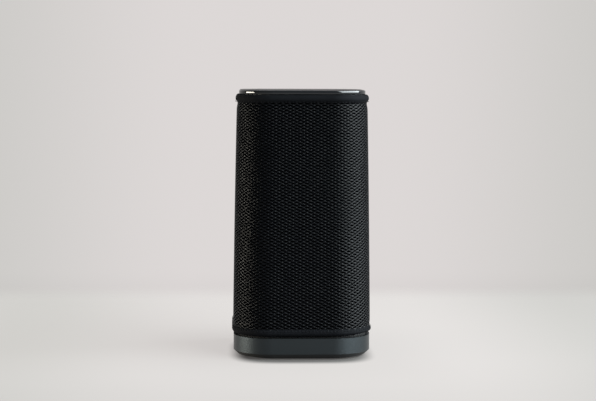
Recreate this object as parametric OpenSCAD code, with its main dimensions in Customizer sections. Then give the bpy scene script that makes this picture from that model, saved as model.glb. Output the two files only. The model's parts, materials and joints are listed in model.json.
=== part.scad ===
// Smart speaker: a fabric-sleeved rounded-square column on a low metal base.
// Millimetres. +Z is up and -Y is the front. The origin is the middle of the
// footprint, on the surface that the speaker stands on.

/* [Body] */
// Width of the fabric sleeve where its mesh starts, at the bottom
sleeve_w_bottom = 100.4; // [96:0.2:124]
// Width of the fabric sleeve where its mesh ends, at the top
sleeve_w_top = 95.2; // [92:0.2:118]
// Corner radius of the sleeve, seen from above, at the bottom
corner_r = 28; // [26:0.5:32]
// Height from the table to the top of the touch plate
total_h = 193.6; // [190:0.2:240]

/* [Sleeve] */
// Thickness of the spacer mesh
mesh_t = 3; // [2:0.25:4]
// Height of the bound edge at the top
top_binding_h = 6.8; // [5:0.2:9]
// Height of the bound edge at the bottom
bottom_binding_h = 5.6; // [4:0.2:8]
// How far the bindings stand proud of the mesh
binding_bulge = 0.6; // [0.2:0.1:1.2]
// Wall of the cage under the sleeve
cage_wall = 2; // [1.6:0.2:2.4]
// Slots up each column of the cage
cage_rows = 12; // [8:1:14]
// Height of each cage slot
cage_slot_h = 9; // [6:0.5:10]
// Width of each cage slot
cage_slot_w = 16; // [10:1:18]

/* [Base] */
// Width of the metal base
base_w = 99.6; // [95:0.2:122]
// Height of the base's top edge above the table
base_top = 15.6; // [15.2:0.2:20]
// Wall of the base
base_wall = 2.2; // [1.8:0.2:2.8]
// Floor of the base
base_floor_t = 2.4; // [2:0.2:3]
// Undercut chamfer round the foot of the base
base_chamfer = 3; // [2:0.5:4]
// Thickness of the inner ledge that carries the gasket
base_ledge_t = 1.2; // [1:0.1:1.4]
// How far the foot pad stands below the base
foot_proud = 1.2; // [0.8:0.1:2]
// Depth of the groove that holds the foot pad
foot_groove = 0.8; // [0.5:0.1:1]
// Outer width of the foot pad
foot_w = 84; // [76:1:88]
// Width of the foot pad's band
foot_band = 9; // [6:1:12]
// Thickness of the gasket that makes the dark gap above the base
gasket_t = 1.2; // [0.8:0.1:2]

/* [Ports] */
// Width of the port panel let into the back of the base
panel_w = 40; // [38:1:42]
// Height of the port panel
panel_h = 8.6; // [8:0.2:8.8]
// Thickness of the port panel
panel_t = 1.5; // [1.2:0.1:1.8]
// Radius of the power button
button_r = 2.45; // [2:0.05:2.6]
// Travel of the power button
button_travel = 0.8; // [0.4:0.1:1]
// Length of the mute slider's thumb piece
slider_l = 4; // [3:0.5:5]
// Travel of the mute slider
slider_travel = 2.8; // [1.5:0.1:3]

/* [Enclosure] */
// Free space between the cage and the speaker enclosure
enclosure_gap = 5; // [4.5:0.5:6]
// Wall of the speaker enclosure
enclosure_wall = 3; // [2.4:0.2:3.6]
// Corner radius of the speaker enclosure
enclosure_r = 14; // [12:1:16]
// Height of the battery bay under the enclosure
battery_bay_h = 24.4; // [23:0.2:28]
// Height of the electronics bay above the enclosure
electronics_bay_h = 22; // [21:0.5:26]
// Thickness of the seal between the two enclosure halves
seal_t = 1; // [0.6:0.1:1.2]

/* [Drivers] */
// Height of the woofer's axis above the enclosure's floor
woofer_up = 36; // [35:0.5:40]
// Height of the tweeter's axis above the woofer's
tweeter_up = 56.2; // [56.2:0.2:58]
// Height of the passive radiator's axis above the enclosure's floor
radiator_up = 48; // [36:1:60]
// Outer radius of the woofer's and the radiator's flange
flange_r = 32; // [31:0.5:32.5]
// Inner radius of that flange
flange_in_r = 25; // [24.5:0.25:25.5]
// Thickness of that flange
flange_t = 2; // [1.6:0.2:2.4]
// Radius of the woofer's cone and the radiator's plate
cone_r = 21.4; // [21:0.1:21.6]
// Depth of the woofer's basket behind its flange
basket_depth = 17; // [16:0.5:19]
// Inner radius of the voice coil's former
coil_r = 8.4; // [8:0.1:9]
// Outer radius of the tweeter's face plate
tweeter_r = 22; // [20:0.5:22]
// Radius of the tweeter's dome
dome_r = 7.2; // [6.5:0.1:8]

/* [Battery] */
// Radius of a battery cell
cell_r = 9.2; // [9:0.1:9.3]
// Length of a battery cell
cell_l = 65; // [60:1:66]

/* [Electronics] */
// Side of the square main board
board_w = 56; // [50:1:56]
// Thickness of every circuit board
board_t = 1.6; // [1:0.2:2]
// Number of fins on the heat sink
fin_count = 8; // [5:1:10]
// Number of status lights under the touch plate
led_count = 12; // [6:1:16]

/* [Top] */
// Width of the glossy touch plate
plate_w = 92; // [88:0.5:112]
// Thickness of the touch plate
plate_t = 3; // [2:0.1:4]
// Distance of each microphone from the middle, along X and along Y
mic_xy = 18; // [12:1:20]
// Radius of the microphone holes
mic_hole_r = 0.7; // [0.5:0.1:1]

/* [Fasteners] */
// Radius of a large screw's shank
screw_r = 1.45; // [1.2:0.05:1.6]
// Radius of a small screw's shank
small_screw_r = 1; // [0.8:0.05:1.1]

/* [Hidden] */
$fn = 32;
outer_fn = 64;

// Clearances
slip = 0.1;       // a cap sliding in its hole
fit_gap = 0.3;    // parts laid beside each other
screw_gap = 0.25; // clearance hole round a screw
pilot_gap = 0.05; // pilot hole round a screw's thread
cut = 1;          // how far a cutter runs past the face it cuts

// Heights, from the table up
base_z = foot_proud;
base_floor_z = base_z + base_floor_t;
body_z = base_top + gasket_t;
mesh_z0 = body_z + bottom_binding_h;
plate_z = total_h - plate_t;
body_top = plate_z - 0.3;
mesh_z1 = body_top - top_binding_h;
chassis_t = 2.8;
chassis_top = body_z + chassis_t;
enclosure_z = chassis_top + battery_bay_h;
frame_floor_t = 2;
frame_h = 8.6;
frame_z = plate_z - frame_h;
enclosure_top = frame_z - electronics_bay_h;

// Plan sizes
function body_w(z) =
    sleeve_w_bottom + (sleeve_w_top - sleeve_w_bottom) * (z - mesh_z0) / (mesh_z1 - mesh_z0);
cage_inset = mesh_t + cage_wall;
cage_in_top = body_w(body_top) - 2 * cage_inset;
base_r = corner_r * base_w / sleeve_w_bottom;
base_half = base_w / 2;
base_in_w = base_w - 2 * base_wall;
ledge_w = base_w - 15.6;
ledge_r = base_r - 7.8;
gasket_w = max(ledge_w + 10, body_w(body_z) - 2 * mesh_t - 2 * fit_gap);
foot_r = base_r - 6;
chassis_w = min(body_w(body_z), body_w(chassis_top)) - 2 * cage_inset - 2 * fit_gap;
chassis_r = corner_r - cage_inset - fit_gap;
enclosure_w = cage_in_top - 2 * enclosure_gap;
enclosure_half = enclosure_w / 2;
frame_w = cage_in_top - 2 * fit_gap;
frame_r = corner_r - cage_inset - 1.2;
frame_wall = 2.4;

// Screw stations
base_post = base_half - 16.8;
base_post_r = 4;
base_head_r = 2.8;
base_head_h = 2.4;
base_head_z = 8;
base_screw_l = 15;
base_post_h = 9;
chassis_post_x = enclosure_half - 12;
chassis_post_y = enclosure_half - 9;
chassis_post_r = 3.5;
chassis_head_r = 2.3;
chassis_head_h = 2;
chassis_screw_bite = 8;
ear_r = 2.4;
ear_l = 7.5;
ear_head_r = 1.9;
ear_x = enclosure_half + ear_head_r + slip;
ear_head_h = 1.4;
ear_heights = [for (share = [0.08, 0.5, 0.92])
    enclosure_z + share * (enclosure_top - enclosure_z)];
top_post = enclosure_half - 7;
top_post_r = 3;
top_head_r = 2.2;
top_head_h = 1.6;
top_screw_l = 16;
standoff_h = 7;
standoff_r = 3;
board_post = board_w / 2 - 4;

// Port panel
panel_z = base_top - base_ledge_t - panel_h / 2;
panel_y = base_half - panel_t - 0.6;
io_z = panel_z - 4;
io_t = 1.2;
io_w = 44;
io_y0 = 16;
io_peg_h = io_z - base_floor_z;
inlet_w = 8.94;
inlet_h = 3.2;
inlet_l = 8.4;
inlet_wall = 0.3;
inlet_z = io_z + io_t + inlet_h / 2;
inlet_y1 = panel_y + panel_t - 0.4;
inlet_back_t = 1.4;
tongue_t = 0.7;
tongue_l = inlet_l - inlet_back_t - 1.2;
button_x = -13;
button_z = inlet_z + 0.6;
button_flange = 0.75;
button_flange_t = 0.8;
button_stem_r = 1.5;
button_stem_l = 1.5;
button_proud = 0.5;
io_y1 = panel_y - slip - button_flange_t - button_travel - fit_gap;
slider_x = 10.1;
slider_h = 2.6;
slider_flange = 0.8;
slider_flange_t = 0.9;
switch_depth = 4;

// Battery bay
cell_z = chassis_top + cell_r + 2.2;
cell_pitch = 2 * cell_r + 0.8;
holder_l = cell_l + 6;
holder_w = 2 * cell_pitch + 2.4;
holder_h = 11;
strap_w = 12;
strap_t = 1;

// Enclosure, seen along its driver axes
woofer_z = enclosure_z + woofer_up;
tweeter_z = woofer_z + tweeter_up;
radiator_z = enclosure_z + radiator_up;
boss_t = 8;
boss_r = flange_r + 1.4;
flange_screw_r = (flange_r + flange_in_r) / 2 + 1.25;
driver_hole_r = flange_in_r + 2.2;
driver_head_r = 1.85;
driver_head_h = 1.2;
driver_screw_l = 6;
tweeter_hole_r = 13.6;
tweeter_boss_r = tweeter_r + 0.6;
tweeter_screw_r = tweeter_r - 2.5;

// Woofer, measured from its flange's back face, outwards positive
basket_t = 1.6;
basket_back_r = 20.6;
basket_hole_r = 11;
ledge_z = -basket_depth + 4;
ledge_in_r = 16.8;
pole_plate_t = 3;
magnet_t = 8;
magnet_r = 21;
yoke_t = 3;
pole_r = coil_r - 0.4;
former_t = 0.3;
winding_t = 0.35;
winding_l = 7;
gap_r = coil_r + former_t + winding_t + 0.35;
cone_t = 0.8;
cone_rim_z = -1.6;
cone_neck_z = -9.8;
roll_r = (flange_in_r - cone_r - 0.2) / 2;
roll_mid = cone_r + 0.2 + roll_r;
skin_t = 0.5;
surround_land = 2.5;
trim_t = 1;
spider_t = 0.4;
spider_wave = 0.7;
spider_waves = 4;
cap_rise = 3;

// Tweeter, measured from its face plate's back, outwards positive
tweeter_plate_t = 2;
motor_r = 13;
motor_l = 12;
tweeter_pole_r = dome_r - 0.6;
tweeter_gap_r = dome_r + 0.4;
dome_rise = 2.4;
dome_t = 0.3;

// Electronics
board_z = enclosure_top + standoff_h;
parts_z = board_z + board_t;
can_w = 22;
can_h = 1.6;
sink_w = 40;
sink_t = 1.6;
fin_h = 6;
fin_t = 1.2;
touch_z = frame_z + frame_floor_t + 2.4;
touch_w = frame_w - 2 * frame_wall - 2 * fit_gap;
touch_r = frame_r - frame_wall - fit_gap;
touch_post_xy = touch_w / 2 - 5;
led_ring_r = 33;
led_side = 2;
led_h = 1;
mic_boot_r = 2.2;
ribbon_w = 12;
ribbon_t = 0.3;
ribbon_y = board_w / 2 - 6;
harness_r = 1;
harness_xy = enclosure_half - enclosure_r * (1 - sqrt(0.5)) + harness_r + 0.7;
harness_z0 = body_z + base_post_h + 2 * harness_r;
harness_z1 = board_z - 1.2 * harness_r;
harness_x = board_w / 2 - 8;

// Colours
metal_grey = [0.16, 0.18, 0.19];
black = [0.05, 0.05, 0.06];
dark = [0.1, 0.1, 0.11];
steel = [0.6, 0.6, 0.62];
board_green = [0.05, 0.25, 0.15];
brass_tone = [0.75, 0.6, 0.25];
rubber_black = [0.03, 0.03, 0.03];

// ---------- Shared shapes ----------

// Centred square with round corners, flat
module rounded_square(w, r) {
    square([w - 2 * r, w], center = true);
    square([w, w - 2 * r], center = true);
    for (x = [-1, 1], y = [-1, 1])
        translate([x * (w / 2 - r), y * (w / 2 - r)])
            circle(r);
}

// The same outline as points, its corners in short straight steps, for tapered solids
function outline(w, r, steps = 16) = [
    for (quarter = [0 : 3], i = [0 : steps])
        let (turn = 90 * quarter, a = turn + 90 * i / steps, mid = w / 2 - r)
            [mid * (cos(turn) - sin(turn)) + r * cos(a),
                mid * (sin(turn) + cos(turn)) + r * sin(a)]];

// Upright prism on that outline, between two heights
module slab(w, r, z0, z1) {
    translate([0, 0, z0])
        linear_extrude(height = z1 - z0)
            rounded_square(w, r);
}

// Band between two such outlines
module band(w_out, r_out, w_in, r_in, z0, z1) {
    difference() {
        slab(w_out, r_out, z0, z1);
        slab(w_in, r_in, z0 - cut, z1 + cut);
    }
}

// Solid that follows the body's taper, set in from the sleeve's face
module column(z0, z1, inset) {
    w0 = body_w(z0) - 2 * inset;
    w1 = body_w(z1) - 2 * inset;
    w_ref = body_w(mesh_z0) - 2 * inset;
    translate([0, 0, z0])
        linear_extrude(height = z1 - z0, scale = w1 / w0)
            polygon(outline(w0, (corner_r - inset) * w0 / w_ref));
}

// Tapered tube between two insets
module column_shell(z0, z1, inset_out, inset_in) {
    difference() {
        column(z0, z1, inset_out);
        column(z0 - cut, z1 + cut, inset_in);
    }
}

// Places its children at the four corners of a square or a rectangle
module at_corners(x, y) {
    for (sx = [-1, 1], sy = [-1, 1])
        translate([sx * x, sy * y, 0])
            children();
}

// Places its children round a circle
module round_circle(count, r, first = 45) {
    for (i = [0 : count - 1])
        rotate([0, 0, first + i * 360 / count])
            translate([r, 0, 0])
                children();
}

// Round rod or hole between two heights
module rod(r, z0, z1) {
    translate([0, 0, z0])
        cylinder(r = r, h = z1 - z0);
}

// Screw pointing down: its head sits above z and its shank hangs below
module screw(head_r, head_h, shank_r, length) {
    rod(head_r, 0, head_h);
    rod(shank_r, -length, 0);
}

// Frames of the drivers: +Z of the child points out of the enclosure
module facing_front(z) {
    translate([0, -enclosure_half, z])
        rotate([90, 0, 0])
            children();
}

module facing_rear(z) {
    translate([0, enclosure_half, z])
        rotate([-90, 0, 0])
            children();
}

// ---------- Base ----------

module foot_pad() {
    color(rubber_black)
        band(foot_w, foot_r, foot_w - 2 * foot_band, foot_r - foot_band,
            0, foot_proud + foot_groove);
}

module base_outside() {
    low_w = base_w - 2 * base_chamfer;
    translate([0, 0, base_z])
        linear_extrude(height = base_chamfer, scale = base_w / low_w)
            polygon(outline(low_w, base_r * low_w / base_w));
    slab(base_w, base_r, base_z + base_chamfer, base_top, $fn = outer_fn);
}

module base_shell() {
    color(metal_grey)
        difference() {
            union() {
                difference() {
                    base_outside();
                    slab(base_in_w, base_r - base_wall, base_floor_z,
                        base_top - base_ledge_t);
                    slab(ledge_w, ledge_r, base_floor_z, base_top + cut);
                }
                at_corners(base_post, base_post)
                    rod(base_post_r, base_floor_z - 0.5, base_top);
                io_pegs();
            }
            band(foot_w, foot_r, foot_w - 2 * foot_band, foot_r - foot_band,
                base_z - cut, base_z + foot_groove);
            at_corners(base_post, base_post) {
                rod(screw_r + screw_gap, 0, base_top + cut);
                rod(base_head_r + screw_gap, base_z - cut, base_head_z);
            }
            translate([0, base_half, panel_z])
                cube([panel_w, 4 * base_wall, panel_h], center = true);
        }
}

// Pegs that carry the board in the base
module io_pegs() {
    for (x = [-1, 1], y = [io_y0 + 4, io_y1 - 8])
        translate([x * (io_w / 2 - 4), y, 0])
            rod(2.2, base_floor_z - 0.5, io_z);
}

module base_screws() {
    color(steel)
        at_corners(base_post, base_post)
            translate([0, 0, base_head_z])
                mirror([0, 0, 1])
                    screw(base_head_r, base_head_h, screw_r, base_screw_l);
}

module base_gasket() {
    color(rubber_black)
        band(gasket_w, ledge_r + (gasket_w - ledge_w) / 2, ledge_w, ledge_r, base_top, body_z);
}

// ---------- Ports at the back of the base ----------

module io_board() {
    color(board_green)
        translate([-io_w / 2, io_y0, io_z])
            cube([io_w, io_y1 - io_y0, io_t]);
}

// Stadium-shaped prism along Y, for the socket and its slot
module stadium(w, h, y0, y1, z) {
    translate([0, y0, z])
        rotate([-90, 0, 0])
            linear_extrude(height = y1 - y0) {
                square([w - h, h], center = true);
                for (x = [-1, 1])
                    translate([x * (w - h) / 2, 0])
                        circle(h / 2);
            }
}

module charge_inlet() {
    color(steel)
        difference() {
            stadium(inlet_w, inlet_h, inlet_y1 - inlet_l, inlet_y1, inlet_z);
            stadium(inlet_w - 2 * inlet_wall, inlet_h - 2 * inlet_wall,
                inlet_y1 - inlet_l + inlet_back_t, inlet_y1 + cut, inlet_z);
        }
}

module charge_inlet_tongue() {
    color(dark)
        translate([0, inlet_y1 - inlet_l + inlet_back_t + tongue_l / 2, inlet_z])
            cube([inlet_w - 2.4, tongue_l, tongue_t], center = true);
}

module port_panel() {
    color(black)
        difference() {
            translate([0, panel_y + panel_t / 2, panel_z])
                cube([panel_w, panel_t, panel_h], center = true);
            stadium(inlet_w + 2 * fit_gap, inlet_h + 2 * fit_gap,
                panel_y - cut, panel_y + panel_t + cut, inlet_z);
            translate([button_x, panel_y - cut, button_z])
                rotate([-90, 0, 0])
                    rod(button_r + slip, 0, panel_t + 2 * cut);
            translate([slider_x - slip, panel_y - cut, button_z - slider_h / 2 - slip])
                cube([slider_l + slider_travel + 2 * slip, panel_t + 2 * cut,
                    slider_h + 2 * slip]);
        }
}

module power_button() {
    color(dark)
        translate([button_x, panel_y - slip, button_z])
            rotate([-90, 0, 0]) {
                rod(button_r, -button_flange_t, panel_t + slip + button_proud);
                rod(button_r + button_flange, -button_flange_t, 0);
                rod(button_stem_r, -button_flange_t - button_stem_l, 0);
            }
}

module power_switch() {
    face = panel_y - slip - button_flange_t - button_stem_l - button_travel - slip;
    color(black)
        translate([button_x - 2.5, face - switch_depth, io_z + io_t])
            cube([5, switch_depth, 5.2]);
}

module mute_slider() {
    color(dark)
        translate([slider_x, panel_y - slip, button_z]) {
            translate([0, -slider_flange_t, -slider_h / 2])
                cube([slider_l, slider_flange_t + slip + panel_t + 0.4, slider_h]);
            translate([-slider_flange, -slider_flange_t, -slider_h / 2 - slider_flange])
                cube([slider_l + 2 * slider_flange, slider_flange_t,
                    slider_h + 2 * slider_flange]);
        }
}

module mute_switch() {
    color(steel)
        translate([slider_x - 2, panel_y - 2 * slip - slider_flange_t - switch_depth,
            io_z + io_t])
            cube([slider_l + slider_travel + 4, switch_depth, 5]);
}

// ---------- Battery bay ----------

module chassis_screw_holes() {
    at_corners(chassis_post_x, chassis_post_y) {
        rod(small_screw_r + screw_gap, body_z - cut, enclosure_z + cut);
        rod(chassis_head_r + screw_gap, body_z - cut, body_z + chassis_head_h);
    }
}

module lower_chassis() {
    color(dark)
        difference() {
            union() {
                slab(chassis_w, chassis_r, body_z, chassis_top);
                at_corners(base_post, base_post)
                    rod(base_post_r, chassis_top - 0.5, body_z + base_post_h);
                at_corners(chassis_post_x, chassis_post_y)
                    rod(chassis_post_r, chassis_top - 0.5, enclosure_z);
            }
            at_corners(base_post, base_post)
                rod(screw_r + pilot_gap, body_z - cut, body_z + base_post_h - 1.5);
            chassis_screw_holes();
            translate([0, chassis_post_y, 0])
                rod(5, body_z - cut, chassis_top + cut);
        }
}

module chassis_screws() {
    color(steel)
        at_corners(chassis_post_x, chassis_post_y)
            translate([0, 0, body_z + chassis_head_h])
                mirror([0, 0, 1])
                    screw(chassis_head_r, chassis_head_h - slip, small_screw_r,
                        enclosure_z - body_z - chassis_head_h + chassis_screw_bite);
}

// Rods along X where the two cells lie
module cells(r, length) {
    for (side = [-1, 1])
        translate([-length / 2, side * cell_pitch / 2, cell_z])
            rotate([0, 90, 0])
                cylinder(r = r, h = length);
}

module battery_cells() {
    color("steelblue")
        cells(cell_r, cell_l);
}

module battery_holder() {
    color(dark)
        difference() {
            translate([-holder_l / 2, -holder_w / 2, chassis_top])
                cube([holder_l, holder_w, holder_h]);
            cells(cell_r + slip, cell_l + 2 * fit_gap);
        }
}

module battery_strap() {
    top = cell_z + cell_r + slip;
    color(black)
        difference() {
            translate([-strap_w / 2, -holder_w / 2 - strap_t - slip, chassis_top])
                cube([strap_w, holder_w + 2 * strap_t + 2 * slip,
                    top + strap_t - chassis_top]);
            translate([-strap_w, -holder_w / 2 - slip, chassis_top - cut])
                cube([2 * strap_w, holder_w + 2 * slip, top - chassis_top + cut]);
        }
}

// ---------- Speaker enclosure ----------

module enclosure_outside() {
    slab(enclosure_w, enclosure_r, enclosure_z, enclosure_top);
}

module enclosure_inside() {
    slab(enclosure_w - 2 * enclosure_wall, enclosure_r - enclosure_wall,
        enclosure_z + enclosure_wall, enclosure_top - enclosure_wall);
}

// Everything on one side of the split: side -1 is the front
module half_space(side) {
    reach = 2 * enclosure_w;
    translate([-reach / 2, side > 0 ? seal_t / 2 : -reach - seal_t / 2, 0])
        cube([reach, reach, 2 * total_h]);
}

// Solid pieces that each half carries besides its wall
module half_fittings(side) {
    for (x = [-1, 1]) {
        for (z = ear_heights)
            translate([x * ear_x, side > 0 ? seal_t / 2 : -seal_t / 2 - ear_l, z])
                rotate([-90, 0, 0])
                    rod(ear_r, 0, ear_l);
        translate([x * top_post, side * top_post, 0])
            rod(top_post_r, enclosure_top - 0.5, frame_z);
        translate([x * board_post, side * board_post, 0])
            rod(standoff_r, enclosure_top - 0.5, board_z);
        translate([x * chassis_post_x, side * chassis_post_y, 0])
            rod(chassis_post_r, enclosure_z, enclosure_z + chassis_screw_bite + 2);
    }
}

module half_holes(side) {
    for (x = [-1, 1]) {
        for (z = ear_heights)
            translate([x * ear_x, 0, z])
                rotate([-90, 0, 0])
                    rod(small_screw_r + (side > 0 ? screw_gap : pilot_gap),
                        -ear_l + 1, ear_l + 2 * cut);
        translate([x * top_post, side * top_post, 0])
            rod(small_screw_r + pilot_gap, frame_z - top_screw_l, frame_z + cut);
        translate([x * board_post, side * board_post, 0])
            rod(small_screw_r + pilot_gap, enclosure_top + 1, board_z + cut);
        translate([x * chassis_post_x, side * chassis_post_y, 0])
            rod(small_screw_r + pilot_gap, enclosure_z - cut,
                enclosure_z + chassis_screw_bite + 1);
    }
}

// Hole through the wall for a driver, with its screws' pilot holes
module driver_cut(hole_r, count, circle_r) {
    rod(hole_r, -2 * boss_t, cut);
    round_circle(count, circle_r)
        rod(small_screw_r + pilot_gap, -driver_screw_l, cut);
}

module enclosure_front() {
    color(dark)
        difference() {
            union() {
                intersection() {
                    difference() {
                        enclosure_outside();
                        enclosure_inside();
                    }
                    half_space(-1);
                }
                half_fittings(-1);
                facing_front(woofer_z)
                    rod(boss_r, -boss_t, 0);
                facing_front(tweeter_z)
                    rod(tweeter_boss_r, -boss_t, 0);
            }
            half_holes(-1);
            facing_front(woofer_z)
                driver_cut(driver_hole_r, 4, flange_screw_r);
            facing_front(tweeter_z)
                driver_cut(tweeter_hole_r, 3, tweeter_screw_r);
        }
}

module enclosure_rear() {
    color(dark)
        difference() {
            union() {
                intersection() {
                    difference() {
                        enclosure_outside();
                        enclosure_inside();
                    }
                    half_space(1);
                }
                half_fittings(1);
                facing_rear(radiator_z)
                    rod(boss_r, -boss_t, 0);
            }
            half_holes(1);
            facing_rear(radiator_z)
                driver_cut(driver_hole_r, 4, flange_screw_r);
        }
}

module enclosure_seal() {
    color(rubber_black)
        intersection() {
            difference() {
                enclosure_outside();
                enclosure_inside();
            }
            translate([0, 0, total_h / 2])
                cube([2 * enclosure_w, seal_t, total_h], center = true);
        }
}

module enclosure_screws() {
    color(steel)
        for (x = [-1, 1], z = ear_heights)
            translate([x * ear_x, seal_t / 2 + ear_l, z])
                rotate([-90, 0, 0])
                    screw(ear_head_r, ear_head_h, small_screw_r, 2 * ear_l - 2);
}

module damping_wadding() {
    color("white")
        translate([-26, -14, tweeter_z - 8])
            cube([52, 40, enclosure_top - enclosure_wall - tweeter_z + 8]);
}

// ---------- Woofer ----------

// Half-roll surround: outer land, roll, inner leg and the lip on the cone
module surround_ring() {
    steps = 10;
    outer_arc = [for (i = [0 : steps]) let (a = 180 * i / steps)
        [roll_mid + (roll_r + skin_t / 2) * cos(a),
            flange_t + skin_t + (roll_r + skin_t / 2) * sin(a)]];
    inner_arc = [for (i = [0 : steps]) let (a = 180 - 180 * i / steps)
        [roll_mid + (roll_r - skin_t / 2) * cos(a),
            flange_t + skin_t + (roll_r - skin_t / 2) * sin(a)]];
    lip_z = cone_rim_z + cone_t;
    rotate_extrude()
        polygon(concat(
            [[flange_in_r + surround_land, flange_t],
                [flange_in_r + surround_land, flange_t + skin_t]],
            outer_arc,
            [[roll_mid - roll_r - skin_t / 2, lip_z + skin_t],
                [cone_r - 1.6, lip_z + skin_t],
                [cone_r - 1.6, lip_z],
                [roll_mid - roll_r + skin_t / 2, lip_z]],
            inner_arc,
            [[roll_mid + roll_r - skin_t / 2, flange_t]]));
}

module woofer_basket() {
    wall_in = flange_in_r;
    color(black)
        facing_front(woofer_z)
            difference() {
                rotate_extrude()
                    polygon([
                        [wall_in, flange_t],
                        [flange_r, flange_t],
                        [flange_r, 0],
                        [wall_in + basket_t, 0],
                        [wall_in + basket_t, -1],
                        [basket_back_r, ledge_z - 2],
                        [basket_back_r, -basket_depth],
                        [basket_hole_r, -basket_depth],
                        [basket_hole_r, -basket_depth + basket_t],
                        [ledge_in_r, -basket_depth + basket_t],
                        [ledge_in_r, ledge_z],
                        [basket_back_r - 0.8, ledge_z],
                        [wall_in, -1]]);
                round_circle(6, basket_back_r + 2, 30)
                    translate([0, 0, (ledge_z - 1) / 2])
                        cube([12, 10, -ledge_z - 5], center = true);
                round_circle(4, flange_screw_r)
                    rod(small_screw_r + screw_gap, -cut, flange_t + cut);
            }
}

module woofer_front_plate() {
    color(steel)
        facing_front(woofer_z)
            difference() {
                rod(magnet_r - 2, -basket_depth - pole_plate_t, -basket_depth);
                rod(gap_r, -basket_depth - pole_plate_t - cut, -basket_depth + cut);
            }
}

module woofer_magnet() {
    top = -basket_depth - pole_plate_t;
    color("dimgray")
        facing_front(woofer_z)
            difference() {
                rod(magnet_r, top - magnet_t, top);
                rod(basket_hole_r, top - magnet_t - cut, top + cut);
            }
}

module woofer_yoke() {
    bottom = -basket_depth - pole_plate_t - magnet_t;
    color(steel)
        facing_front(woofer_z) {
            rod(magnet_r - 1, bottom - yoke_t, bottom);
            rod(pole_r, bottom - yoke_t, -basket_depth);
        }
}

module woofer_voice_coil() {
    mid = -basket_depth - pole_plate_t / 2;
    color(brass_tone)
        facing_front(woofer_z)
            difference() {
                union() {
                    rod(coil_r + former_t, mid - 5.9, cone_neck_z + 1.2);
                    rod(coil_r + former_t + winding_t, mid - winding_l / 2,
                        mid + winding_l / 2);
                }
                rod(coil_r, mid - 8, 0);
            }
}

module woofer_spider() {
    r0 = coil_r + former_t + slip;
    steps = 32;
    function height(i) = ledge_z + spider_t / 2
        + spider_wave * sin(360 * spider_waves * i / steps);
    function radius(i) = r0 + 0.8 + (ledge_in_r - r0 - 0.8) * i / steps;
    color("goldenrod")
        facing_front(woofer_z)
            rotate_extrude()
                polygon(concat(
                    [[r0, ledge_z], [r0, ledge_z + spider_t]],
                    [for (i = [0 : steps]) [radius(i), height(i) + spider_t / 2]],
                    [[ledge_in_r + 2.4, ledge_z + spider_t],
                        [ledge_in_r + 2.4, ledge_z]],
                    [for (i = [steps : -1 : 0]) [radius(i), height(i) - spider_t / 2]]));
}

module woofer_cone() {
    neck = coil_r + former_t;
    color(black)
        facing_front(woofer_z)
            rotate_extrude()
                polygon([
                    [neck, cone_neck_z],
                    [neck + 0.9, cone_neck_z],
                    [cone_r - 0.8, cone_rim_z],
                    [cone_r, cone_rim_z],
                    [cone_r, cone_rim_z + cone_t],
                    [cone_r - 1.2, cone_rim_z + cone_t],
                    [neck, cone_neck_z + 1.2]]);
}

module woofer_dust_cap() {
    rim = coil_r + former_t + 1.2;
    rim_z = cone_neck_z + 2.1;
    steps = 8;
    function arc(scale_by, drop) = [for (i = [0 : steps])
        [rim * scale_by * sin(90 * i / steps),
            rim_z + cap_rise * cos(90 * i / steps) - drop * cos(90 * i / steps)]];
    outer = arc(1, 0);
    inner = arc(0.94, 0.5);
    color(dark)
        facing_front(woofer_z)
            rotate_extrude()
                polygon(concat(outer, [for (i = [steps : -1 : 0]) inner[i]]));
}

module woofer_surround() {
    color(rubber_black)
        facing_front(woofer_z)
            surround_ring();
}

module woofer_gasket() {
    color(dark)
        facing_front(woofer_z)
            difference() {
                rod(flange_in_r + surround_land, flange_t + skin_t,
                    flange_t + skin_t + trim_t);
                rod(flange_in_r + 0.6, flange_t, flange_t + skin_t + trim_t + cut);
            }
}

module driver_screws() {
    color(steel) {
        facing_front(woofer_z)
            flange_screws(4, flange_screw_r, flange_t);
        facing_rear(radiator_z)
            flange_screws(4, flange_screw_r, flange_t);
        facing_front(tweeter_z)
            flange_screws(3, tweeter_screw_r, tweeter_plate_t);
    }
}

module flange_screws(count, circle_r, plate) {
    round_circle(count, circle_r)
        translate([0, 0, plate])
            screw(driver_head_r, driver_head_h, small_screw_r,
                plate + driver_screw_l - cut);
}

// ---------- Tweeter ----------

module tweeter_faceplate() {
    color(black)
        facing_front(tweeter_z)
            difference() {
                rotate_extrude()
                    polygon([
                        [dome_r + 3.8, 0],
                        [tweeter_r, 0],
                        [tweeter_r, tweeter_plate_t],
                        [tweeter_r - 4.6, tweeter_plate_t],
                        [dome_r + 5, 0.8],
                        [dome_r + 3.8, 0.8]]);
                round_circle(3, tweeter_screw_r)
                    rod(small_screw_r + screw_gap, -cut, tweeter_plate_t + cut);
            }
}

module tweeter_motor() {
    color("dimgray")
        facing_front(tweeter_z)
            rotate_extrude()
                polygon([
                    [0, -motor_l],
                    [motor_r, -motor_l],
                    [motor_r, -skin_t],
                    [tweeter_gap_r, -skin_t],
                    [tweeter_gap_r, -motor_l + 2],
                    [tweeter_pole_r, -motor_l + 2],
                    [tweeter_pole_r, -2],
                    [0, -2]]);
}

module tweeter_dome() {
    steps = 8;
    function arc(inset) = [for (i = [0 : steps])
        [(dome_r - inset) * sin(90 * i / steps),
            (dome_rise - inset) * cos(90 * i / steps)]];
    inner = arc(dome_t);
    color("slategray")
        facing_front(tweeter_z)
            rotate_extrude()
                polygon(concat(arc(0),
                    [[dome_r, -6], [dome_r - dome_t, -6]],
                    [for (i = [steps : -1 : 0]) inner[i]]));
}

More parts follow.
